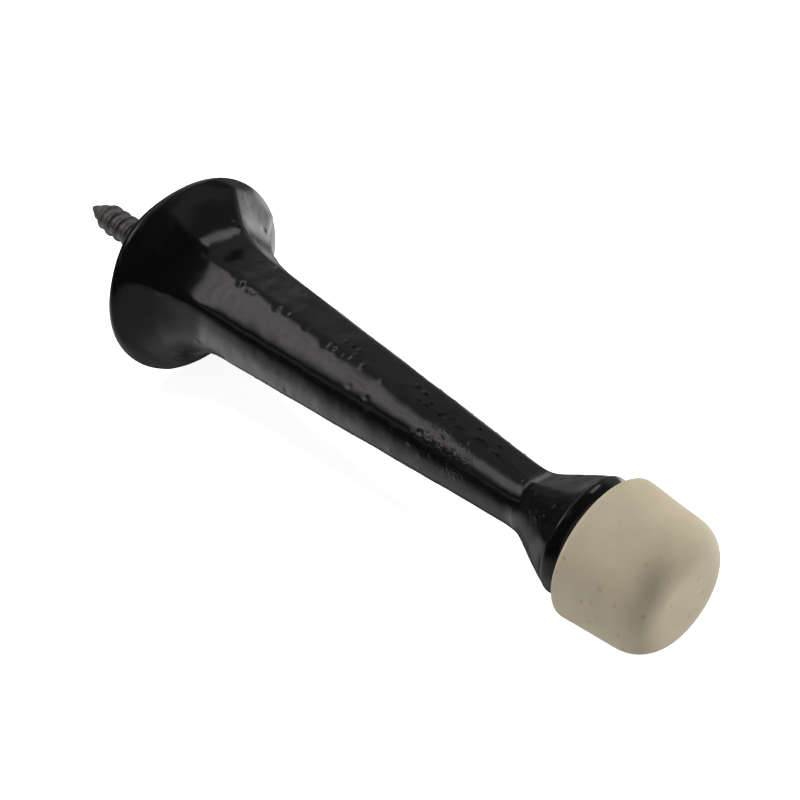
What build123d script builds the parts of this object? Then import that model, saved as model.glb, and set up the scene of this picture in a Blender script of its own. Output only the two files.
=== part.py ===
from build123d import *

import math
import os

# A baseboard door stop: a cast body, a hanger screw behind it and a rubber tip in front.
# It is modelled along +Z, with the wall at z = 0, and laid level at the end, with its tip towards -Y.
# All sizes are in millimetres.

# Cast body, from the wall to the tip
flange_diameter = 31.75
rim_band = 0.95
rim_back_radius = 0.3
flare_length = 14.4
shaft_root_width = 15.7
shaft_length = 55.6
shaft_neck_width = 7.9
neck_radius = 5.0
cone_length = 9.25
head_diameter = 17.7
head_band = 1.5
facet_edge_radius = 0.8
facets = 8

# Hanger screw
shank_diameter = 4.9
shank_collar = 0.8
screw_diameter = 4.83
screw_root_diameter = 3.9
screw_reach = 25.4
screw_point_length = 3.2
screw_point_diameter = 0.3
thread_pitch = 2.117
thread_root_width = 1.7
thread_crest_width = 0.5
thread_sink = 0.2
screw_set_depth = 9.5
screw_hole_clearance = 0.05

# Rubber tip
tip_length = 13.55
tip_back_diameter = 20.54
tip_front_diameter = 18.38
tip_back_radius = 0.8
tip_front_radius = 4.78
stem_diameter = 5.6
stem_length = 6.5
stem_chamfer = 0.6
stem_side_clearance = 0.05
stem_end_clearance = 0.3

# Distances from the wall, each the end of one stretch of the body
flare_end = rim_band + flare_length
neck_place = flare_end + shaft_length
cone_end = neck_place + cone_length
head_face = cone_end + head_band
tip_face = head_face + tip_length

# Radii, and half widths across two opposite flats
flange_radius = flange_diameter / 2
head_radius = head_diameter / 2
root_half_width = shaft_root_width / 2
neck_half_width = shaft_neck_width / 2
shank_radius = shank_diameter / 2
screw_radius = screw_diameter / 2
screw_hole_radius = shank_radius + screw_hole_clearance
stem_hole_radius = stem_diameter / 2 + stem_side_clearance

# Degrees from one flat to the next, and how near to half way an edge between two flats is looked for
facet_turn = 360 / facets
edge_turn_tolerance = 1.0

# Lays the finished stop level
level_out = Rot(90, 0, 0)


def shaft_half_width(distance):
    """Half width of the shaft's straight taper, which the flare leans on, at a distance from the wall."""
    slope = (neck_half_width - root_half_width) / shaft_length
    return root_half_width + slope * (distance - flare_end)


def revolve_outline(*points):
    """Solid of revolution about Z from the corners of its half section in the XZ plane."""
    return revolve(Plane.XZ * make_face(Polyline(*points, close=True)), Axis.Z)


def flat_to_flat_outline():
    """Half section through two opposite flats, running past the round rim and the round head."""
    third = flare_length / 3
    flare_start = (flange_radius, rim_band)
    flare_pull = (shaft_half_width(rim_band + third), rim_band + third)
    flare_lead = (shaft_half_width(rim_band + 2 * third), rim_band + 2 * third)
    root = (root_half_width, flare_end)
    neck = (neck_half_width, neck_place)
    cone_slope = (head_radius - neck_half_width) / cone_length
    flare_slope = (flare_start[0] - flare_pull[0]) / third
    past_rim = rim_band / 2
    past_head = head_band / 4
    rim_corner = (flange_radius + past_rim, rim_band - past_rim / flare_slope)
    head_corner = (head_radius + past_head, cone_end + past_head / cone_slope)
    outline = [
        Line((0, 0), (rim_corner[0], 0)),
        Line((rim_corner[0], 0), rim_corner),
        Line(rim_corner, flare_start),
        Bezier(flare_start, flare_pull, flare_lead, root),
        Line(root, neck),
        Line(neck, head_corner),
        Line(head_corner, (head_corner[0], head_face)),
        Line((head_corner[0], head_face), (0, head_face)),
        Line((0, head_face), (0, 0)),
    ]
    half = make_face(outline)
    corner = half.vertices().sort_by_distance((neck[0], neck[1], 0))[0]
    return fillet(corner, neck_radius)


def is_facet_edge(edge):
    """True on an edge between two facets: it lies in a plane half way between two flats."""
    for place in (0.0, 0.5, 1.0):
        point = edge @ place
        turn = math.degrees(math.atan2(point.Y, point.X)) % facet_turn
        if math.hypot(point.X, point.Y) < neck_half_width:
            return False
        if abs(turn - facet_turn / 2) > edge_turn_tolerance:
            return False
    return True


def cast_body():
    """One casting: eight flats that flare at both ends, cut round at the flange and the head."""
    half = flat_to_flat_outline()
    outline = Plane.XZ * (half + mirror(half, about=Plane.YZ))
    slab = extrude(outline, amount=flange_diameter, both=True)
    body = slab
    for step in range(1, facets // 2):
        body &= Rot(0, 0, step * facet_turn) * slab
    body &= revolve_outline(
        (0, 0),
        (flange_radius, 0),
        (flange_radius, neck_place),
        (head_radius, neck_place),
        (head_radius, head_face),
        (0, head_face),
    )
    body = fillet(body.edges().filter_by(is_facet_edge), facet_edge_radius)
    back_edges = body.edges().filter_by(GeomType.CIRCLE).group_by(Axis.Z)[0]
    body = fillet(back_edges, rim_back_radius)
    body -= revolve_outline(
        (0, 0),
        (screw_hole_radius, 0),
        (screw_hole_radius, screw_set_depth),
        (0, screw_set_depth),
    )
    stem_hole_floor = head_face - stem_length - stem_end_clearance
    body -= revolve_outline(
        (0, stem_hole_floor),
        (stem_hole_radius, stem_hole_floor),
        (stem_hole_radius, head_face),
        (0, head_face),
    )
    return body


def hanger_screw():
    """Screw with a plain end set in the casting, and a wood thread with a gimlet point behind the wall."""
    root_radius = screw_root_diameter / 2
    point_radius = screw_point_diameter / 2
    point_run = screw_point_length / (screw_radius - point_radius)
    sunk_radius = root_radius - thread_sink
    helix = Helix(thread_pitch, screw_reach, sunk_radius)
    ridge = make_face(
        Polyline(
            (sunk_radius, -thread_root_width / 2),
            (screw_radius, -thread_crest_width / 2),
            (screw_radius, thread_crest_width / 2),
            (sunk_radius, thread_root_width / 2),
            close=True,
        )
    )
    thread = sweep(Plane.XZ * ridge, path=helix, is_frenet=True)
    core = revolve_outline((0, 0), (root_radius, 0), (root_radius, screw_reach), (0, screw_reach))
    limit = revolve_outline(
        (0, 0),
        (screw_diameter, 0),
        (screw_diameter, screw_reach - point_run * (screw_diameter - point_radius)),
        (point_radius, screw_reach),
        (0, screw_reach),
    )
    threaded = (core + thread) & limit
    plain_end = revolve_outline(
        (0, -screw_set_depth),
        (shank_radius, -screw_set_depth),
        (shank_radius, shank_collar),
        (0, shank_collar),
    )
    return Rot(180, 0, 0) * (threaded + plain_end)


def rubber_tip():
    """Bumper that tapers to a rounded front, with a stem pushed into the head."""
    stem_radius = stem_diameter / 2
    stem_end = head_face - stem_length
    back_corner = (tip_back_diameter / 2, head_face)
    front_corner = (tip_front_diameter / 2, tip_face)
    section = make_face(
        Polyline(
            (0, stem_end),
            (stem_radius - stem_chamfer, stem_end),
            (stem_radius, stem_end + stem_chamfer),
            (stem_radius, head_face),
            back_corner,
            front_corner,
            (0, tip_face),
            close=True,
        )
    )
    for corner, radius in ((back_corner, tip_back_radius), (front_corner, tip_front_radius)):
        vertex = section.vertices().sort_by_distance((corner[0], corner[1], 0))[0]
        section = fillet(vertex, radius)
    return revolve(Plane.XZ * section, Axis.Z)


pieces = {
    "cast_body": cast_body(),
    "hanger_screw": hanger_screw(),
    "rubber_tip": rubber_tip(),
}

os.makedirs("parts", exist_ok=True)
for name, piece in pieces.items():
    export_step(level_out * piece, f"parts/{name}.step")
    print(name, "volume", round(piece.volume, 1))
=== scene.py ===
# %% [markdown]
# # A baseboard door stop, dressed in Blender
#
# The stop is a small casting: a round flange that lies against the wall, an eight-sided shaft that flares
# out of it like a trumpet, and a round head that holds a rubber bumper. A wood screw stands out of the
# flange's back. The casting is rough, and thick gloss black paint runs over its pits and grit. This file
# models that surface, the screw and the bumper, and lights them as small goods are lit on a white sheet.
#
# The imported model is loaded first. It is the frame: its sizes and places hold, and each new piece stands
# for one of its nodes.

# %% Load the frame
import math

import bmesh
import bpy
import numpy as np
from mathutils import Matrix, Vector


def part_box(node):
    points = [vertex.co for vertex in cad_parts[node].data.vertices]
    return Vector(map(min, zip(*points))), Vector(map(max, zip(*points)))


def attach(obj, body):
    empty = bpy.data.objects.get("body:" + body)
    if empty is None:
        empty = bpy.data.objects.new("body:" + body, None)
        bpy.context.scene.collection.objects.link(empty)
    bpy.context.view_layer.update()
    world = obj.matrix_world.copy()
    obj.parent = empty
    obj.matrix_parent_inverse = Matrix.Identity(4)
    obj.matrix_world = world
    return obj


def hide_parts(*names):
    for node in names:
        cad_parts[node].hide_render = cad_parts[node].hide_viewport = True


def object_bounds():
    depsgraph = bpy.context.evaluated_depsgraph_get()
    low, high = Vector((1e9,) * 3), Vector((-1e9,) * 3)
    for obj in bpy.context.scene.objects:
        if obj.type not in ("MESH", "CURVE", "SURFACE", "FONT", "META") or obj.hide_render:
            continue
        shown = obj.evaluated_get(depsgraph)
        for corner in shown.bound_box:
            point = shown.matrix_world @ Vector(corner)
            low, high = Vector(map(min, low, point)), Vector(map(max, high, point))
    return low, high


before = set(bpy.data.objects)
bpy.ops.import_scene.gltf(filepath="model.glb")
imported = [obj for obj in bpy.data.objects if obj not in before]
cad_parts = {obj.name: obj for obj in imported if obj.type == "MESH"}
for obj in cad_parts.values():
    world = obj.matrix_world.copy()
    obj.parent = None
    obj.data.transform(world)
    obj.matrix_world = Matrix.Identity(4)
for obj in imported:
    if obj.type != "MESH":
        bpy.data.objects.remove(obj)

cad_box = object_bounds()
print("CAD box", [tuple(round(v, 5) for v in corner) for corner in cad_box])

# %% [markdown]
# ## The camera
#
# The camera stands to the left of the tip and looks down along the shaft, so that the flange is far and
# the rubber is near. A short tele lens keeps the taper of the shaft honest. The place, the aim and the
# small roll come from fitting the outline of the real object, so they are plain numbers in millimetres.

# %% Camera
MM = 0.001
camera_place = Vector((-136.87, -172.46, 138.79)) * MM
camera_aim = Vector((0.93, -44.18, 0.93)) * MM
camera_roll = math.radians(4.64)
focal_length = 76.2
sensor_width = 36.0
nearest_seen = 0.01

bpy.ops.object.select_all(action="DESELECT")
bpy.ops.object.camera_add(location=camera_place)
camera = bpy.context.object
camera.name = "camera"
camera.data.lens = focal_length
camera.data.sensor_width = sensor_width
camera.data.clip_start = nearest_seen
looking = (camera_aim - camera_place).to_track_quat("-Z", "Y").to_matrix()
camera.rotation_euler = (looking @ Matrix.Rotation(camera_roll, 3, "Z")).to_euler()
bpy.context.scene.camera = camera
bpy.context.view_layer.update()
print("camera right and up", [[round(v, 4) for v in camera.matrix_world.col[i][:3]] for i in (0, 1)])

# %% [markdown]
# ## A short way to write shader nodes
#
# A material is a tree of nodes. Wiring it by hand in Python is long, so one small class wraps a socket:
# its operators add Math nodes, so that `1 - mask * 0.5` reads as it would on paper. Any other node comes
# from one method, which sets the node's settings first and then fills or links its sockets.


# %% Sockets that can be calculated with
class Signal:
    """One output socket of a node tree. Arithmetic on it adds Math nodes."""

    def __init__(self, tree, socket=None):
        self.tree = tree
        self.socket = socket

    def node(self, kind, settings=None, sockets=None, output=0):
        """Adds a node, sets it, fills or links its sockets, and returns one of its outputs."""
        made = self.tree.nodes.new("ShaderNode" + kind)
        for name, value in (settings or {}).items():
            setattr(made, name, value)
        for key, value in (sockets or {}).items():
            socket = self.chosen(made.inputs, key)
            if isinstance(value, Signal):
                self.tree.links.new(value.socket, socket)
            else:
                socket.default_value = value
        return Signal(self.tree, self.chosen(made.outputs, output))

    @staticmethod
    def chosen(sockets, key):
        """The socket of a place or a name among those that the node's settings leave in use."""
        usable = [socket for socket in sockets if socket.enabled]
        if isinstance(key, int):
            return usable[key]
        return next(socket for socket in usable if socket.name == key)

    def math(self, operation, *values):
        return self.node("Math", {"operation": operation}, dict(enumerate(values)))

    def __add__(self, other):
        return self.math("ADD", self, other)

    __radd__ = __add__

    def __sub__(self, other):
        return self.math("SUBTRACT", self, other)

    def __rsub__(self, other):
        return self.math("SUBTRACT", other, self)

    def __mul__(self, other):
        return self.math("MULTIPLY", self, other)

    __rmul__ = __mul__

    def __abs__(self):
        return self.math("ABSOLUTE", self)

    def larger(self, other):
        return self.math("MAXIMUM", self, other)

    def smaller(self, other):
        return self.math("MINIMUM", self, other)

    def ramp(self, low, high):
        """0 below low, 1 above high and a smooth step between. It falls if low is the larger."""
        smooth = {"interpolation_type": "SMOOTHSTEP"}
        if low < high:
            return self.node("MapRange", smooth, {"Value": self, "From Min": low, "From Max": high})
        sockets = {"Value": self, "From Min": high, "From Max": low, "To Min": 1.0, "To Max": 0.0}
        return self.node("MapRange", smooth, sockets)

    def blend(self, colour, other):
        """Mixes two colours by this value: 0 is the first."""
        filled = [value if isinstance(value, Signal) else (*value, 1.0) for value in (colour, other)]
        sockets = {"Factor": self, "A": filled[0], "B": filled[1]}
        return self.node("Mix", {"data_type": "RGBA"}, sockets)


# %% Materials and their output
def new_material(name):
    """An empty node material, with the Signal that its nodes are made from."""
    material = bpy.data.materials.new(name)
    material.use_nodes = True
    material.node_tree.nodes.clear()
    return material, Signal(material.node_tree)


def surface(tree, shader):
    """Links a shader to the material's or the world's output."""
    kind = "OutputWorld" if tree.tree == bpy.context.scene.world.node_tree else "OutputMaterial"
    output = tree.tree.nodes.new("ShaderNode" + kind)
    tree.tree.links.new(shader.socket, output.inputs["Surface"])
    print(kind, "with", len(tree.tree.nodes), "nodes")


def in_millimetres(tree):
    """Object coordinates, scaled so that one unit is one millimetre."""
    place = tree.node("TexCoord", output="Object")
    return tree.node("Mapping", sockets={"Vector": place, "Scale": (1 / MM, 1 / MM, 1 / MM)})


# %% [markdown]
# ## The white sheet
#
# The stop lies on a white sheet. A plain matt sheet would render grey at the light that suits the rubber,
# so some white is added that only the camera sees, and a little more far away, where the lamps fade. What
# the lamps add on top leaves room for the stop's soft shadow. A faint glow also reaches the stop's low
# side. The sheet is hidden from mirror rays, because the room in the next step holds its own picture of
# it.

# %% White sheet
floor_gap = 0.05 * MM
floor_height = cad_box[0].z - floor_gap
floor_size = 8.0
floor_cuts = 8
paper_grey = 0.92
sheet_light = 0.08
white_shown = 0.77
far_white = 0.15
fade_start = 0.25
fade_end = 0.9

bpy.ops.object.select_all(action="DESELECT")
bpy.ops.mesh.primitive_grid_add(
    x_subdivisions=floor_cuts, y_subdivisions=floor_cuts, size=floor_size, location=(0, 0, floor_height)
)
floor = bpy.context.object
floor.name = "white_sheet"
floor.visible_glossy = False

scene = bpy.context.scene
scene.view_settings.view_transform = "Standard"
if scene.world is None:
    scene.world = bpy.data.worlds.new("world")
scene.world.use_nodes = True
scene.world.node_tree.nodes.clear()

sheet, tree = new_material("white_sheet")
clear_ray = tree.node("LightPath", output="Is Transmission Ray")
seen = tree.node("LightPath", output="Is Camera Ray").larger(clear_ray)
from_stop = tree.node("TexCoord", output="Object")
away = tree.node("VectorMath", {"operation": "LENGTH"}, {0: from_stop}, output="Value")
glow = sheet_light + seen * (white_shown + far_white * away.ramp(fade_start, fade_end))
paper = tree.node("BsdfDiffuse", sockets={"Color": (paper_grey, paper_grey, paper_grey, 1.0)})
white = tree.node("Emission", sockets={"Color": (1.0, 1.0, 1.0, 1.0), "Strength": glow})
surface(tree, tree.node("AddShader", sockets={0: paper, 1: white}))
floor.data.materials.append(sheet)
print("floor at", round(floor_height / MM, 3), "mm")

# %% [markdown]
# ## The room that the paint mirrors
#
# Gloss black shows little of its own colour, so what it mirrors draws its shape. Real lamps and cards
# could stand round the stop, but each would also light the rubber. Here the two are set apart: the world
# holds a room that only mirror rays see. A window with trees outside stands behind and to the left, a
# strip light hangs overhead, a bar of light lies behind, the sheet below is bright towards the back, and
# the camera's side is dark. Each is a mask over the directions of the sky, with its borders as numbers
# from -1 to 1.

# %% Directions and panels in the room
tree = Signal(scene.world.node_tree)
ray = tree.node("TexCoord", output="Generated")


def towards(direction):
    """How far the ray points along a direction, from -1 to 1."""
    sockets = {0: ray, 1: tuple(direction)}
    return tree.node("VectorMath", {"operation": "DOT_PRODUCT"}, sockets, output="Value")


def panel(centre, half_width, half_height, side_blur, end_blur, turn=0.0):
    """Mask of a soft-edged rectangle in the room, seen from the stop. It can be turned in its own plane."""
    middle = Vector(centre).normalized()
    level = middle.cross(Vector((0, 0, 1))).normalized()
    rise = level.cross(middle)
    turned = Matrix.Rotation(math.radians(turn), 3, middle)
    across = abs(towards(turned @ level))
    upright = abs(towards(turned @ rise))
    inside = across.ramp(half_width + side_blur, half_width - side_blur)
    inside = inside * upright.ramp(half_height + end_blur, half_height - end_blur)
    return inside * towards(middle).ramp(0.0, 0.1)


def between(part, start, full, fading, end):
    """Mask that rises from start to full and falls again from fading to end."""
    return part.ramp(start, full) * part.ramp(end, fading)


right = towards((1, 0, 0))
back = towards((0, 1, 0))
up = towards((0, 0, 1))

# %% Window, strip light and bar
window_light = 1.4
trees_light = 0.7
strip_light = 1.7
sill_light = 0.22
strip_turn = 35

trees = tree.node("TexNoise", sockets={"Vector": ray, "Scale": 15.0, "Detail": 1.0}).ramp(0.35, 0.65)
window_pane = panel((-0.63, 0.45, 0.61), 0.29, 0.20, 0.06, 0.15)
window = window_pane * (window_light + trees_light * trees)
strip = panel((0.53, -0.14, 0.84), 0.08, 0.20, 0.045, 0.06, strip_turn) * strip_light
far_bar = between(back, 0.59, 0.65, 0.70, 0.78) * right.ramp(-0.45, -0.25) * up.ramp(0.1, 0.3)
sill = between(up, 0.04, 0.14, 0.18, 0.30) * right.ramp(-0.5, -0.7) * back.ramp(0.2, 0.4) * sill_light
bright_things = window + strip + far_bar + sill
print("window", window_light, "to", round(window_light + trees_light, 2), "and strip", strip_light)

# %% Walls and ceiling
darkest = 0.02
wall_light = 0.23
low_wall = 0.35
band_shade = 0.65
near_wall_light = 0.8
end_wall_light = 0.03
far_corner_light = 0.2
far_shelf_light = 0.22

dark_gap = panel((0.53, 0.34, 0.776), 0.09, 0.10, 0.03, 0.03)
dark_band = between(back, -0.62, -0.45, -0.2, -0.02)
right_wall = right.ramp(-0.2, 0.5) * (low_wall + (1 - low_wall) * up.ramp(0.1, 0.5))
right_wall = right_wall * (1 - band_shade * dark_band) + near_wall_light * right.ramp(0.75, 0.95)
left_ceiling = up.ramp(0.70, 0.85) * right.ramp(-0.3, -0.5) * back.ramp(-0.45, -0.2)
back_ceiling = back.ramp(-0.1, 0.15) * up.ramp(0.6, 0.75)
walls = right_wall.larger(left_ceiling).larger(back_ceiling) * (1 - dark_gap)
end_wall = back.ramp(0.85, 0.95)
far_corner = back.ramp(0.66, 0.76) * right.ramp(0.3, 0.6)
far_shelf = back.ramp(0.50, 0.60) * right.ramp(0.3, 0.5) * up.ramp(0.4, 0.6)
gloom = darkest + wall_light * walls + end_wall_light * end_wall
gloom = gloom + far_corner_light * far_corner + far_shelf_light * far_shelf
print("walls from", darkest, "to about", round(darkest + wall_light * (1 + near_wall_light), 2))

# %% The sheet, as the paint mirrors it
left_sheet = 0.93
right_sheet = 0.07
front_sheet = 0.25
near_glow = 0.28
middle_glow = 0.3
back_glow = 0.85
right_glow = 0.75
right_back_glow = 1.5
rim_shade = 0.6
neck_shade = 0.4

below_front = up.ramp(-0.25, -0.62)
below_back = up.ramp(-0.14, -0.65)
low_right = right.ramp(0.45, 0.8) * up.ramp(0.0, -0.12) * back.ramp(0.42, 0.15)
below = (below_front + back.ramp(0.3, 0.55) * (below_back - below_front)).larger(low_right)
sheet_sides = right_sheet + left_sheet * right.ramp(0.35, -0.55) + front_sheet * back.ramp(0.35, 0.0)
sheet_rise = near_glow + middle_glow * back.ramp(-0.5, 0.2) + back_glow * back.ramp(0.42, 0.60)
under_rim = back.ramp(0.60, 0.68) * right.ramp(-0.55, -0.68)
under_neck = back.ramp(0.56, 0.68)
sheet_glow = sheet_rise * sheet_sides.smaller(1.0)
sheet_glow = sheet_glow * (1 - rim_shade * under_rim) * (1 - neck_shade * under_neck)
sheet_glow = sheet_glow + right.ramp(0.6, 0.95) * (right_glow + right_back_glow * back.ramp(-0.38, -0.1))
mirrored = (gloom + bright_things) * (1 - below) + below * sheet_glow
print("sheet up to", round(near_glow + middle_glow + back_glow, 2), "towards the back")

# %% What each kind of ray sees
ambient_light = 0.08
strip_warmth = 0.5
white_tint = (1.0, 1.0, 1.0)
rose_tint = (1.0, 0.885, 0.925)
straw_tint = (1.0, 0.97, 0.92)

mirror_ray = tree.node("LightPath", output="Is Glossy Ray")
clear_ray = tree.node("LightPath", output="Is Transmission Ray")
seen = tree.node("LightPath", output="Is Camera Ray").larger(clear_ray)
strength = ambient_light + mirror_ray * (mirrored - ambient_light)
strength = strength + seen * (1.0 - strength)
leaves = tree.node("TexNoise", sockets={"Vector": ray, "Scale": 19.0, "Detail": 0.0}).ramp(0.35, 0.65)
warm = leaves.blend(rose_tint, straw_tint)
tint = (window + strip * strip_warmth).smaller(1.0).blend(white_tint, warm)
surface(tree, tree.node("Background", sockets={"Color": tint, "Strength": strength}))
print("ambient light", ambient_light)

# %% [markdown]
# ## Soft lamps for the matt surfaces
#
# The rubber is matt, so it needs lamps, not a room. One broad lamp overhead gives the soft light of the
# top, one low on the right lights the round front, and a weak one on the left lifts the shaded side. A
# smaller lamp would give harder shadows than small goods on a sheet have. The paint doesn't mirror these
# lamps.

# %% Soft lamps
lit_centre = Vector((0.0, -44.0, 0.0)) * MM
lamp_distance = 0.9


def soft_lamp(name, direction, width, watts):
    """A square lamp that faces the middle of the stop. The gloss paint doesn't mirror it."""
    place = lit_centre + Vector(direction).normalized() * lamp_distance
    bpy.ops.object.light_add(type="AREA", location=place)
    lamp = bpy.context.object
    lamp.name = name
    lamp.data.shape = "SQUARE"
    lamp.data.size = width
    lamp.data.energy = watts
    lamp.rotation_euler = (lit_centre - lamp.location).to_track_quat("-Z", "Y").to_euler()
    lamp.visible_camera = False
    lamp.visible_glossy = False
    print(name, watts, "W")


bpy.ops.object.select_all(action="DESELECT")
soft_lamp("overhead_lamp", (0.0, 0.36, 0.93), 0.7, 7.4)
soft_lamp("right_lamp", (0.77, -0.63, 0.08), 0.25, 6.2)
soft_lamp("left_lamp", (-0.80, 0.55, 0.10), 0.25, 0.75)

# %% [markdown]
# ## Tools for modelling
#
# Each piece is modelled upright in millimetres, along +Z with the wall at zero, because that is how a
# turned or drawn thing is easiest to think of. At the end it is laid level, with its tip towards -Y, and
# scaled to metres, and that turn and scale go into the mesh. A few helpers keep the steps short: one
# picks vertices by their place, one pulls an open ring on to its next radius and height.


# %% Rings
def start_ring(name, corners, radius, height, turn=0.0):
    """Adds an open ring, in edit mode with all of it selected."""
    bpy.ops.object.select_all(action="DESELECT")
    bpy.ops.mesh.primitive_circle_add(vertices=corners, radius=radius, fill_type="NOTHING")
    piece = bpy.context.object
    piece.name = name
    piece.data.name = name
    bpy.ops.object.mode_set(mode="EDIT")
    bpy.ops.mesh.select_all(action="SELECT")
    bpy.ops.transform.rotate(value=-turn, orient_axis="Z", center_override=(0, 0, 0))
    bpy.ops.transform.translate(value=(0, 0, height))
    return piece


def pick(piece, test):
    """Selects the vertices whose place passes a test, and what lies between them."""
    mesh = bmesh.from_edit_mesh(piece.data)
    for item in (*mesh.verts, *mesh.edges, *mesh.faces):
        item.select_set(False)
    for vertex in mesh.verts:
        if test(vertex.co):
            vertex.select_set(True)
    mesh.select_flush_mode()
    bmesh.update_edit_mesh(piece.data)


def pick_ring(piece, height):
    """Selects the ring at a height."""
    tolerance = 0.01
    pick(piece, lambda place: abs(place.z - height) < tolerance)


def ring_state(piece):
    """Height and mean radius of the selected ring."""
    mesh = bmesh.from_edit_mesh(piece.data)
    places = [vertex.co for vertex in mesh.verts if vertex.select]
    height = sum(place.z for place in places) / len(places)
    radius = sum(math.hypot(place.x, place.y) for place in places) / len(places)
    return height, radius


# %% Pulling a ring on
def pull_ring(piece, height, scale):
    """Extrudes the selected open ring to a height and resizes it about the axis."""
    here = ring_state(piece)[0]
    bpy.ops.mesh.extrude_region_move(TRANSFORM_OT_translate={"value": (0, 0, height - here)})
    bpy.ops.transform.resize(value=(scale, scale, 1), center_override=(0, 0, height))


def pull_round(piece, height, radius):
    """Extrudes the selected ring to a height and makes it a true circle of a radius."""
    pull_ring(piece, height, 1.0)
    bpy.ops.transform.tosphere(value=1.0)
    scale = radius / ring_state(piece)[1]
    bpy.ops.transform.resize(value=(scale, scale, 1), center_override=(0, 0, height))


def pull_through(piece, rings):
    """Pulls the selected ring round through a list of heights and radii, and closes it in one point."""
    for height, radius in rings:
        pull_round(piece, height, radius)
    close_ring()
    print(piece.name, "pulled through", len(rings), "rings, closed at", round(rings[-1][0], 2), "mm")


def close_ring():
    """Draws the selected ring together into one point, which closes that end."""
    bpy.ops.mesh.extrude_region_move()
    bpy.ops.mesh.merge(type="CENTER")


def spaced(start, end, step):
    """Evenly spaced values after start, up to and with end, about a step apart."""
    count = max(1, round((end - start) / step))
    return [start + (end - start) * (i + 1) / count for i in range(count)]


# %% Modifiers and the last turn
def apply_modifier(piece, kind, **settings):
    """Adds a modifier, sets it and applies it."""
    bpy.context.view_layer.objects.active = piece
    modifier = piece.modifiers.new(kind.lower(), kind)
    for name, value in settings.items():
        setattr(modifier, name, value)
    bpy.ops.object.modifier_apply(modifier=modifier.name)


def smooth_mesh(piece, levels):
    """Leaves edit mode and applies a subdivision surface."""
    bpy.ops.mesh.select_all(action="SELECT")
    bpy.ops.mesh.normals_make_consistent(inside=False)
    bpy.ops.object.mode_set(mode="OBJECT")
    apply_modifier(piece, "SUBSURF", levels=levels, render_levels=levels)
    bpy.ops.object.shade_smooth()
    print(piece.name, "has", len(piece.data.vertices), "vertices")


def lay_level(piece):
    """Turns a finished piece level, brings it to metres, and keeps both in its mesh."""
    bpy.ops.object.select_all(action="DESELECT")
    piece.select_set(True)
    bpy.context.view_layer.objects.active = piece
    piece.rotation_euler = (math.pi / 2, 0, 0)
    piece.scale = (MM, MM, MM)
    bpy.ops.object.transform_apply(location=True, rotation=True, scale=True)
    triangles = sum(len(face.vertices) - 2 for face in piece.data.polygons)
    print(piece.name, "has", triangles, "triangles")


# %% Weights by place
def vertex_places(piece):
    """All vertex places as one array."""
    places = np.empty(len(piece.data.vertices) * 3)
    piece.data.vertices.foreach_get("co", places)
    return places.reshape(-1, 3)


def weigh(piece, name, weights):
    """Makes a vertex group from an array of weights, without the ones too small to matter."""
    least = 0.004
    group = piece.vertex_groups.new(name=name)
    for index in np.flatnonzero(weights > least):
        group.add([int(index)], float(min(1.0, weights[index])), "REPLACE")
    return name


def rising(values, low, high):
    """0 below low, 1 above high, and a straight line between. It falls if low is the larger."""
    return np.clip((values - low) / (high - low), 0, 1)


def bell(values, middle, width):
    """1 at the middle, falling smoothly to both sides."""
    return np.exp(-((values - middle) / width) ** 2)


def clouds(name, size):
    """A soft noise texture for a Displace modifier."""
    texture = bpy.data.textures.new(name, "CLOUDS")
    texture.noise_scale = size
    texture.noise_depth = 1
    return texture


# %% [markdown]
# ## The cast body
#
# The body is one casting. Its half width between two flats falls fast out of the flange, runs as a
# straight taper to the neck and opens again as a cone. A loft of rings follows that one curve: an eight-
# sided ring is pulled from station to station along the axis. The eight edges are soft on the shaft,
# where paint has rounded them, and crisper on the flange, so they get a crease there before the mesh is
# subdivided.

# %% Profile of the body
flange_radius = (cad_box[1].x - cad_box[0].x) / 2 / MM
head_face = -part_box("cast_body")[0].y / MM
tip_face = -cad_box[0].y / MM
screw_end = cad_box[1].y / MM
rim_band = 0.95
flare_end = 15.35
neck_place = 70.95
cone_end = 80.2
root_half_width = 7.85
neck_half_width = 3.95
head_radius = 8.85
neck_softness = 0.9
facets = 8
half_facet = math.pi / facets


def half_width(height):
    """Half width between two flats at a distance from the wall."""
    slope = (neck_half_width - root_half_width) / (neck_place - flare_end)
    taper = root_half_width + slope * (height - flare_end)
    at_rim = root_half_width + slope * (rim_band - flare_end)
    rise = max(0.0, (flare_end - height) / (flare_end - rim_band)) ** 3
    flared = taper + (flange_radius - at_rim) * rise
    cone_slope = (head_radius - neck_half_width) / (cone_end - neck_place)
    cone = neck_half_width + cone_slope * (height - neck_place)
    return (flared + cone + math.hypot(flared - cone, neck_softness)) / 2


for name, height in (("root", flare_end), ("neck", neck_place)):
    print("half width at the", name, round(half_width(height), 2), "mm")

# %% Pull the eight-sided loft
rim_corner_height = 1.85
head_corner_height = 77.9
stretches = [(5.0, 0.55), (flare_end, 0.9), (68.5, 1.15), (74.0, 0.6), (head_corner_height, 0.9)]
facet_cuts = 4

stations = []
stretch_start = rim_corner_height
for stretch_end, step in stretches:
    stations += spaced(stretch_start, stretch_end, step)
    stretch_start = stretch_end
wide = half_width(rim_corner_height)
body = start_ring("painted_body", facets, wide / math.cos(half_facet), rim_corner_height, half_facet)
bpy.ops.mesh.subdivide(number_cuts=facet_cuts)
for height in stations:
    pull_ring(body, height, half_width(height) / wide)
    wide = half_width(height)
print("loft of", len(stations), "stations")

# %% Round head, with the hole for the stem
stem_hole_radius = 2.85
stem_hole_floor = 74.9
hole_bevel = 0.3
hole_edge = 0.15
shoulder = [(3.1, 8.42), (2.7, 8.64), (2.4, 8.64), (1.9, 8.44), (1.2, 8.05), (0.6, 7.65), (0.2, 7.35)]

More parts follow.
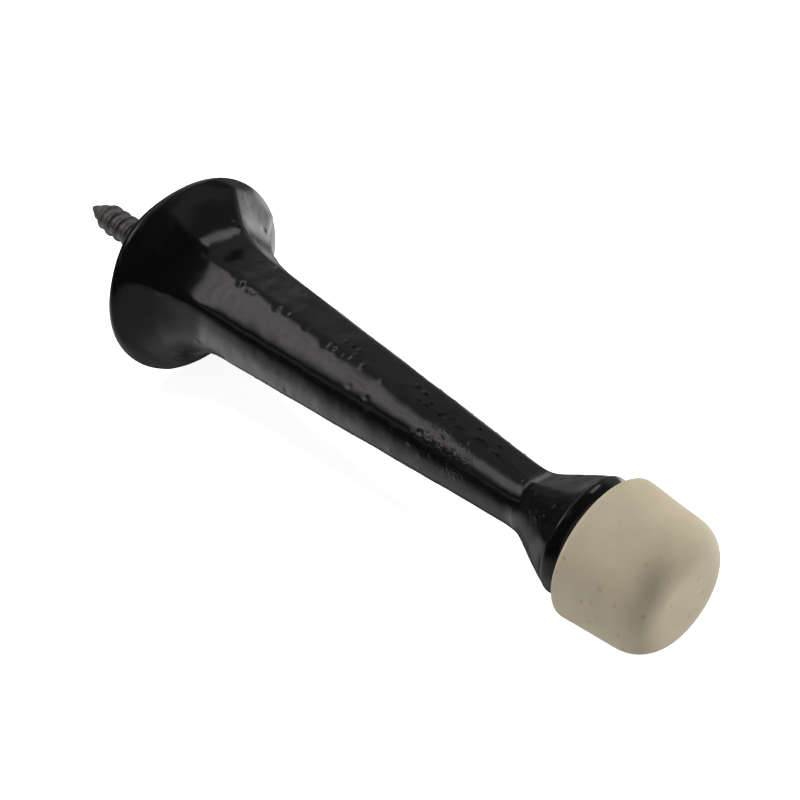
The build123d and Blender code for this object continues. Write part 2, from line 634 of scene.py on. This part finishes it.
head_rings = [(head_face - depth, radius) for depth, radius in shoulder]
head_rings += [(head_face, 7.1), (head_face, 6.5), (head_face, stem_hole_radius + hole_edge)]
head_rings += [(head_face - hole_edge, stem_hole_radius), (head_face - 1.0, stem_hole_radius)]
head_rings += [(stem_hole_floor + hole_bevel, stem_hole_radius)]
head_rings += [(stem_hole_floor, stem_hole_radius - hole_bevel)]
pull_through(body, head_rings)

# %% Round rim and flat back, with the hole for the screw
screw_hole_radius = 2.5
screw_hole_floor = 9.5
rim_curve = [(1.0, -0.02), (0.75, 0.05), (0.4, 0.05), (0.12, -0.03), (0.0, -0.3), (0.0, -0.9)]

rim_rings = [(height, flange_radius + past_rim) for height, past_rim in rim_curve]
rim_rings += [(0.0, 10.0), (0.0, 5.0), (0.0, screw_hole_radius + hole_edge)]
rim_rings += [(hole_edge, screw_hole_radius), (1.0, screw_hole_radius)]
rim_rings += [(screw_hole_floor - hole_bevel, screw_hole_radius)]
rim_rings += [(screw_hole_floor, screw_hole_radius - hole_bevel)]
pick_ring(body, rim_corner_height)
pull_through(body, rim_rings)

# %% Crease the eight edges where they are crisp
crease_steps = [(1.8, 8.0, 0.38), (8.0, 14.0, 0.32), (14.0, 22.0, 0.2)]
body_levels = 2


def on_facet_edge(place):
    """True on one of the eight edges between two facets, and not in the holes."""
    turn = math.atan2(place.y, place.x) % (2 * half_facet)
    return abs(turn - half_facet) < 0.02 and math.hypot(place.x, place.y) > neck_half_width


for low, high, crease in crease_steps:
    pick(body, lambda place: low < place.z < high and on_facet_edge(place))
    bpy.ops.transform.edge_crease(value=crease)
smooth_mesh(body, body_levels)

# %% [markdown]
# ## The worn lower side
#
# The real casting is less crisp on its lower side, as if the mould was worn there: the flats are crowned,
# the edge towards the camera is rounded off, more so near the neck, the flange's lower edges are nearly
# gone, and the rim is soft and a little swollen at the upper left. Sculpting would do that by feel.
# Modifiers with a vertex group each can be measured and changed: Displace swells a flat towards the
# circle through its corners, and Smooth relaxes an edge. The groups are written with the distance from
# the wall in millimetres and the turn about the axis in degrees, where 135 faces the camera.

# %% Crown the flats
crown_height = 0.7
lower_flat_turn = 184
top_flat_turn = 90
flat_spread = 30

places = vertex_places(body)
heights = places[:, 2]
radii = np.hypot(places[:, 0], places[:, 1])
turns = np.degrees(np.arctan2(places[:, 1], places[:, 0])) % 360
flats = np.array([half_width(height) for height in heights])
to_circle = np.maximum(0, flats / math.cos(half_facet) - radii)
on_shaft = rising(heights, 8, 15) * rising(heights, 78.5, 76)
on_flare = rising(heights, 2.5, 5) * rising(heights, 18, 13)
to_neck = rising(heights, 12, 64)
lower_crown = bell(turns, lower_flat_turn, flat_spread) * (0.5 + 0.4 * to_neck)
camera_crown = (0.15 + 0.85 * rising(turns, 106, 120)) * (0.05 + 0.9 * to_neck)
flare_crown = 0.25 * bell(turns, top_flat_turn, flat_spread) * on_flare
crown = to_circle * np.maximum(np.maximum(lower_crown, camera_crown) * on_shaft, flare_crown)
crown_group = weigh(body, "crown", crown / crown_height)
apply_modifier(body, "DISPLACE", strength=crown_height, mid_level=0.0, vertex_group=crown_group)
print("crown up to", round(float(crown[radii > neck_half_width].max()), 2), "mm on the outside")

# %% Soften the edge towards the camera and the flange's lower edges
camera_edge_turn = 159
flange_edge_turns = (202.5, 247.5)
flange_edge_spread = 16
edge_passes = 110
flange_passes = 160

soft_edge = bell(turns, camera_edge_turn, 14 + 6 * to_neck) * (0.25 + 0.6 * to_neck)
soft_edge = soft_edge * on_shaft * rising(heights, 73, 60)
soft_group = weigh(body, "soft_edge", soft_edge)
apply_modifier(body, "SMOOTH", factor=0.8, iterations=edge_passes, use_z=False, vertex_group=soft_group)
round_flange = np.maximum(*(bell(turns, turn, flange_edge_spread) for turn in flange_edge_turns))
round_flange = round_flange * rising(heights, 1.4, 2.4) * rising(heights, 17, 12)
round_group = weigh(body, "round_flange", round_flange)
apply_modifier(body, "SMOOTH", factor=0.8, iterations=flange_passes, use_z=False, vertex_group=round_group)
print("strongest softening", round(float(soft_edge.max()), 2), "and", round(float(round_flange.max()), 2))

# %% Soften and swell the rim
lip_turn = 140
lip_spread = 34
lip_passes = 50
swell_turn = 134
swell_spread = 22
rim_swell = 0.65

rim_lip = bell(turns, lip_turn, lip_spread) * rising(radii, 13.6, 15.2) * rising(heights, 4, 2)
lip_group = weigh(body, "rim_lip", rim_lip)
apply_modifier(body, "SMOOTH", factor=0.5, iterations=lip_passes, vertex_group=lip_group)
places = vertex_places(body)
heights = places[:, 2]
radii = np.hypot(places[:, 0], places[:, 1])
swell = bell(turns, swell_turn, swell_spread) * rising(heights, 5.5, 1.5) * rising(radii, 12, 15)
swell_group = weigh(body, "rim_swell", swell)
apply_modifier(body, "DISPLACE", strength=rim_swell, mid_level=0.0, vertex_group=swell_group)
print("rim swollen by up to", round(rim_swell * float(swell.max()), 2), "mm")

# %% [markdown]
# ## The casting's flaws
#
# The real surface isn't machined: sand and gas left pits along the edges, grit under the paint and a
# rough patch near the neck, and the flats are a little uneven. Sculpting would do, but a list of flaws,
# each with its place, size and depth, can be changed and gives the same result each time. Those that show
# from the camera are placed one by one, and the other sides get scattered ones. Each flaw weighs the
# vertices around it, and Displace modifiers press the pits in and raise the grit.

# %% Flaws placed one by one
# Each row is the distance from the wall, the turn about the axis, the radius and the depth or height, in
# millimetres and degrees.
edge_pits = [
    (15.4, 116, 0.65, 0.20), (17.4, 117, 0.45, 0.15), (18.3, 117, 0.40, 0.12), (23.1, 115, 0.60, 0.18),
    (24.9, 113, 0.50, 0.12), (33.3, 116, 0.70, 0.18), (34.5, 116, 0.45, 0.20), (36.2, 116, 0.50, 0.16),
    (37.2, 114, 0.50, 0.14), (29.0, 114, 0.50, 0.08), (59.7, 118, 0.45, 0.12), (54.2, 105, 0.35, 0.12),
    (69.2, 118, 0.28, 0.06), (53.2, 143, 0.45, 0.10), (56.8, 131, 0.35, 0.12), (40.1, 143, 0.40, 0.08),
    (43.4, 144, 0.40, 0.08),
]
shaft_grit = [
    (40.2, 114, 0.55, 0.12), (43.9, 115, 0.35, 0.12), (34.9, 98, 0.30, 0.06), (36.1, 97, 0.30, 0.07),
    (37.4, 96, 0.35, 0.08), (37.8, 107, 0.30, 0.06), (47.8, 86, 0.35, 0.09), (49.4, 88, 0.40, 0.10),
    (49.8, 105, 0.25, 0.06), (51.0, 106, 0.35, 0.08), (51.4, 97, 0.25, 0.06), (54.0, 104, 0.30, 0.06),
    (58.9, 79, 0.35, 0.09), (60.2, 99, 0.25, 0.07), (60.8, 96, 0.28, 0.07), (63.1, 107, 0.35, 0.09),
    (63.8, 104, 0.30, 0.08), (63.0, 84, 0.30, 0.07), (67.5, 117, 0.30, 0.08), (44.2, 159, 0.35, 0.08),
    (49.1, 158, 0.35, 0.08), (51.9, 152, 0.35, 0.08), (52.4, 165, 0.28, 0.12), (54.5, 175, 0.30, 0.06),
    (46.0, 58, 0.35, 0.10), (49.5, 54, 0.35, 0.12), (52.5, 60, 0.32, 0.10), (55.5, 53, 0.35, 0.12),
    (58.0, 59, 0.30, 0.12), (60.5, 54, 0.35, 0.12), (63.0, 58, 0.30, 0.10), (65.5, 53, 0.32, 0.12),
]
flange_grit = [
    (2.8, 125, 0.75, 0.20), (3.0, 120, 0.60, 0.18), (4.2, 126, 0.60, 0.18), (3.4, 135, 0.75, 0.20),
    (4.3, 136, 0.60, 0.18), (4.9, 141, 0.55, 0.15), (2.6, 150, 0.65, 0.20), (5.8, 160, 0.55, 0.15),
]
head_grit = [
    (71.5, 123, 0.25, 0.12), (77.4, 123, 0.28, 0.08), (78.5, 117, 0.28, 0.08), (72.6, 128, 0.30, 0.20),
    (73.2, 136, 0.28, 0.10), (73.6, 145, 0.30, 0.18), (74.2, 131, 0.26, 0.10), (74.6, 140, 0.30, 0.20),
    (75.1, 147, 0.30, 0.20), (75.4, 134, 0.26, 0.08), (76.0, 142, 0.30, 0.20), (76.4, 129, 0.28, 0.18),
    (76.7, 149, 0.26, 0.10), (77.2, 137, 0.28, 0.20), (78.0, 128, 0.26, 0.12), (73.4, 84, 0.30, 0.12),
    (74.8, 76, 0.30, 0.12), (75.6, 90, 0.28, 0.10), (76.8, 80, 0.30, 0.12),
]
grit = shaft_grit + flange_grit + head_grit
print(len(edge_pits), "pits and", len(grit), "grains by place")

# %% Scattered flaws on the other sides
hidden_turns = (195, 440)
random_flaws = np.random.default_rng(17)
scattered_grit = []
scattered_pits = []
for low, high, count, flaws, size, depth in (
    (16, 68, 90, scattered_grit, 0.28, 0.05),
    (2, 14, 40, scattered_grit, 0.35, 0.05),
    (72, 79, 24, scattered_grit, 0.28, 0.06),
    (16, 70, 60, scattered_pits, 0.35, 0.07),
    (2, 14, 25, scattered_pits, 0.40, 0.06),
):
    for _ in range(count):
        distance = random_flaws.uniform(low, high)
        turn = random_flaws.uniform(*hidden_turns)
        radius = size * random_flaws.uniform(0.7, 1.5)
        flaws.append((distance, turn, radius, depth * random_flaws.uniform(0.5, 1.5)))
print(len(scattered_grit), "grains and", len(scattered_pits), "pits scattered")

# %% Press and raise the flaws
pit_depth = 0.22
grit_height = 0.2
flaw_sharpness = 1.4
hole_reach = 3.0


def flaw_weights(places, flaws, full):
    """Weight of each vertex: a smooth bump round each flaw, where 1 stands for the full depth."""
    weights = np.zeros(len(places))
    radii = np.hypot(places[:, 0], places[:, 1])
    turns = np.degrees(np.arctan2(places[:, 1], places[:, 0]))
    for distance, turn, radius, depth in flaws:
        along = places[:, 2] - distance
        around = np.radians((turns - turn + 180) % 360 - 180) * radii
        away = np.hypot(along, around) / radius
        bump = np.exp(-flaw_sharpness * away ** 2)
        weights = np.maximum(weights, np.where(radii > hole_reach, bump * depth / full, 0))
    return weights


def displace(piece, strength, group, texture=None):
    """Moves the vertices of a group along their normals, evenly or by a texture about its middle grey."""
    mid_level = 0.5 if texture else 0.0
    settings = {"texture": texture, "strength": strength, "mid_level": mid_level, "vertex_group": group}
    apply_modifier(piece, "DISPLACE", **settings)


places = vertex_places(body)
heights = places[:, 2]
outer = np.hypot(places[:, 0], places[:, 1]) > hole_reach
cast_skin = rising(heights, 1.3, 2.8) * rising(heights, 80.0, 78.5) * outer
pit_weights = flaw_weights(places, edge_pits + scattered_pits, pit_depth)
grit_weights = flaw_weights(places, grit + scattered_grit, grit_height)
skin_group = weigh(body, "cast_skin", cast_skin * (0.3 + 0.7 * rising(heights, 11, 17)))
pit_group = weigh(body, "pits", pit_weights * cast_skin)
grit_group = weigh(body, "grit", grit_weights * cast_skin)
displace(body, 0.16, skin_group, clouds("broad_lumps", 7.0))
displace(body, 0.055, skin_group, clouds("small_lumps", 2.4))
displace(body, -pit_depth, pit_group)
displace(body, grit_height, grit_group)
lay_level(body)

# %% [markdown]
# ## Black paint
#
# The paint is thick stove black: nearly no colour, a clear gloss, and a skin that isn't quite flat. Fine
# pits and grit that are too small for the mesh are bump, which is strong only in three ragged patches.
# The gloss changes a little from place to place, where hands and dust have dulled it.

# %% Black paint
clean_black = (0.0045, 0.0045, 0.0047)
dusty_black = (0.0062, 0.0060, 0.0058)
clean_roughness = 0.09
dulling = 0.07
peel_depth = 0.06 * MM
rough_patches = [((-3.2, -55.8, 3.2), 2.9), ((-3.4, -60.0, 2.2), 2.7), ((-4.2, -75.0, 4.2), 2.8)]

paint, tree = new_material("black_paint")
place = in_millimetres(tree)
peel = tree.node("TexNoise", sockets={"Vector": place, "Scale": 0.45, "Detail": 1.0})
grain = tree.node("TexNoise", sockets={"Vector": place, "Scale": 1.6, "Detail": 2.0, "Roughness": 0.6})
ragged = tree.node("TexNoise", sockets={"Vector": place, "Scale": 0.7, "Detail": 1.0})
dull = tree.node("TexNoise", sockets={"Vector": place, "Scale": 0.22, "Detail": 2.0}).ramp(0.35, 0.75)


def near(middle, reach):
    """Mask of a ragged round patch on the casting, by its middle and reach in millimetres."""
    away = tree.node("VectorMath", {"operation": "DISTANCE"}, {0: place, 1: middle}, output="Value")
    return (away + ragged * reach).ramp(reach * 1.6, reach * 1.2)


shaft_patch, lower_patch, cone_patch = [near(middle, reach) for middle, reach in rough_patches]
rough = shaft_patch.larger(lower_patch).larger(cone_patch)
skin = peel * 0.8 + (grain - 0.5) * (0.1 + 3.4 * rough)
bump = tree.node("Bump", sockets={"Strength": 0.5, "Distance": peel_depth, "Height": skin})
shader = tree.node("BsdfPrincipled", sockets={
    "Base Color": dull.blend(clean_black, dusty_black),
    "Roughness": clean_roughness + dull * dulling,
    "IOR": 1.5,
    "Normal": bump,
})
surface(tree, shader)
body.data.materials.clear()
body.data.materials.append(paint)
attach(body, "root")
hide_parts("cast_body")

# %% [markdown]
# ## The wood screw
#
# The screw is steel, with a rolled wood thread and a long gimlet point. A sweep along a helix leaves
# awkward ends, so a plain pin is pulled ring by ring instead, down to its point, and the thread is raised
# on it: each vertex is weighed by how near it lies to the helix, and one Displace modifier lifts the
# ridge.

# %% Screw
core_radius = 2.08
shank_radius = 2.45
shank_bevel = 0.3
collar = [(-0.5, shank_radius), (-0.8, shank_radius - 0.1), (-1.0, core_radius)]
point_length = 4.8
point_radius = 0.12
point_fullness = 0.75
screw_step = 0.21
screw_corners = 40
screw_levels = 1

screw = start_ring("wood_screw", screw_corners, shank_radius - shank_bevel, screw_hole_floor)
screw_rings = [(screw_hole_floor - shank_bevel, shank_radius), (1.0, shank_radius), *collar]
point_start = -(screw_end - point_length)
screw_rings += [(height, core_radius) for height in spaced(collar[-1][0], point_start, -screw_step)]
for height in spaced(point_start, -screw_end, -screw_step):
    left = (height + screw_end) / point_length
    screw_rings.append((height, point_radius + (core_radius - point_radius) * left ** point_fullness))
pull_through(screw, screw_rings)
pick_ring(screw, screw_hole_floor)
close_ring()
smooth_mesh(screw, screw_levels)

# %% Raise the thread
thread_radius = 2.415
thread_pitch = 2.117

places = vertex_places(screw)
heights = places[:, 2]
turned = np.arctan2(places[:, 1], places[:, 0]) / (2 * math.pi)
from_crest = np.abs((-heights / thread_pitch - turned) % 1.0 - 0.5) * thread_pitch
ridge = rising(from_crest, 0.74, 0.12)
ridge = ridge * ridge * (3 - 2 * ridge)
run_out = rising(-heights, 0.9, 2.1) * rising(heights + screw_end, 0.3, 4.8)
ridge_group = weigh(screw, "thread", ridge * run_out)
displace(screw, thread_radius - core_radius, ridge_group)
lay_level(screw)

# %% [markdown]
# ## Screw steel
#
# The screw looks unplated. Its steel is dull and mottled grey, with some grime in it, and a little brown
# towards the point. A plain metal shader with one colour would look new, so two noises mix the greys and
# the grime, and where it is brown it is also less metallic, as rust is.

# %% Screw steel
dark_steel = (0.16, 0.154, 0.152)
light_steel = (0.265, 0.258, 0.255)
rust_brown = (0.16, 0.115, 0.085)
point_brown = 0.45
grime_brown = 0.3

steel, tree = new_material("screw_steel")
place = in_millimetres(tree)
mottle = tree.node("TexNoise", sockets={"Vector": place, "Scale": 1.4, "Detail": 4.0})
grime = tree.node("TexNoise", sockets={"Vector": place, "Scale": 0.5, "Detail": 4.0}).ramp(0.45, 0.75)
along = tree.node("SeparateXYZ", sockets={0: place}, output="Y")
browned = (along.ramp(17.0, 25.0) * point_brown + grime * grime_brown).smaller(1.0)
grey = mottle.ramp(0.3, 0.7).blend(dark_steel, light_steel)
bump = tree.node("Bump", sockets={"Strength": 0.35, "Distance": 0.05 * MM, "Height": mottle})
shader = tree.node("BsdfPrincipled", sockets={
    "Base Color": browned.blend(grey, rust_brown),
    "Roughness": 0.42 + mottle * 0.2,
    "Metallic": 1.0 - browned * 0.6,
    "Normal": bump,
})
surface(tree, shader)
screw.data.materials.clear()
screw.data.materials.append(steel)
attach(screw, "root")
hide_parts("hanger_screw")

# %% [markdown]
# ## The rubber bumper
#
# The bumper is moulded cream rubber, a short cone with a small radius at the back and a broad one at the
# front. A spin of its half section would do. Rings are pulled here too, because the same helper then also
# makes the stem that plugs into the head. A weak noise lets the side sag a little, as soft rubber does.

# %% Section of the bumper
tip_back_radius = 10.27
tip_front_radius = 9.19
front_rounding = 4.78
back_rounding = 0.8
stem_radius = 2.8
stem_length = 6.5
stem_chamfer = 0.6
back_steps = 4
front_steps = 8
side_step = 1.2
stem_end = head_face - stem_length
side_slope = (tip_front_radius - tip_back_radius) / (tip_face - head_face)
side_lean = math.atan(-side_slope)


def side_radius(height):
    """Radius of the bumper's straight side at a distance from the wall."""
    return tip_back_radius + side_slope * (height - head_face)


def arc(height, radius, rounding, lean):
    """Height and radius of a point on a rounding, by its centre and the lean of its normal."""
    return height + rounding * math.sin(lean), radius + rounding * math.cos(lean)


back_centre = head_face + back_rounding
back_reach = side_radius(back_centre) - back_rounding
front_centre = tip_face - front_rounding
front_reach = side_radius(front_centre) - front_rounding / math.cos(side_lean)
side_end = front_centre + front_rounding * math.sin(side_lean)
print("bumper's side leans", round(math.degrees(side_lean), 2), "degrees")

# %% Rubber tip
tip_corners = 48
tip_levels = 2
sag = 0.12
sag_size = 9.0
sag_level = 0.6

tip_rings = [(stem_end + stem_chamfer, stem_radius), (head_face - 0.4, stem_radius)]
tip_rings += [(head_face, radius) for radius in (stem_radius + 0.2, 4.5, 7.0, 9.0)]
for step in range(back_steps + 1):
    lean = math.radians(-90 + 90 * step / back_steps)
    tip_rings.append(arc(back_centre, back_reach, back_rounding, lean))
tip_rings += [(height, side_radius(height)) for height in spaced(back_centre, side_end, side_step)]
for step in range(1, front_steps + 1):
    lean = side_lean + (math.pi / 2 - side_lean) * step / front_steps
    tip_rings.append(arc(front_centre, front_reach, front_rounding, lean))
tip_rings += [(tip_face, front_reach * share) for share in (0.8, 0.55, 0.3, 0.1)]
tip = start_ring("rubber_bumper", tip_corners, stem_radius - stem_chamfer, stem_end)
pull_through(tip, tip_rings)
pick_ring(tip, stem_end)
close_ring()
smooth_mesh(tip, tip_levels)
heights = vertex_places(tip)[:, 2]
soft_skin = rising(heights, head_face + 0.3, head_face + 2.3)
soft_skin = soft_skin * rising(heights, tip_face - 0.2, tip_face - 2.2)
skin_group = weigh(tip, "moulded_skin", soft_skin)
apply_modifier(tip, "DISPLACE", texture=clouds("rubber_sag", sag_size), strength=sag, mid_level=sag_level,
               vertex_group=skin_group)
lay_level(tip)

# %% [markdown]
# ## Cream rubber
#
# The rubber is matt cream, a little uneven, with a few small brown specks moulded in. Specks could be
# painted on a texture, but a Voronoi pattern needs none: each of its cells holds one dot, and the cell's
# own random colour chooses which cells show theirs.

# %% Cream rubber
dark_cream = (0.53, 0.455, 0.325)
light_cream = (0.58, 0.502, 0.365)
speck_brown = (0.36, 0.24, 0.11)
speck_strength = 0.45
speck_scale = 0.55

rubber, tree = new_material("cream_rubber")
place = in_millimetres(tree)
mottle = tree.node("TexNoise", sockets={"Vector": place, "Scale": 0.22, "Detail": 4.0}).ramp(0.3, 0.7)
fine = tree.node("TexNoise", sockets={"Vector": place, "Scale": 6.0, "Detail": 3.0})
cells = {"Vector": place, "Scale": speck_scale}
from_dot = tree.node("TexVoronoi", sockets=cells)
cell_colour = tree.node("TexVoronoi", sockets=cells, output="Color")
spotted = tree.node("SeparateColor", sockets={"Color": cell_colour}).ramp(0.55, 0.6)
specks = from_dot.ramp(0.26, 0.06) * spotted
cream = mottle.blend(dark_cream, light_cream)
bump = tree.node("Bump", sockets={"Strength": 0.25, "Distance": 0.05 * MM, "Height": fine - specks * 0.6})
shader = tree.node("BsdfPrincipled", sockets={
    "Base Color": (specks * speck_strength).blend(cream, speck_brown),
    "Roughness": 0.55 + mottle * 0.1,
    "IOR": 1.45,
    "Normal": bump,
})
surface(tree, shader)
tip.data.materials.clear()
tip.data.materials.append(rubber)
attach(tip, "root")
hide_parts("rubber_tip")
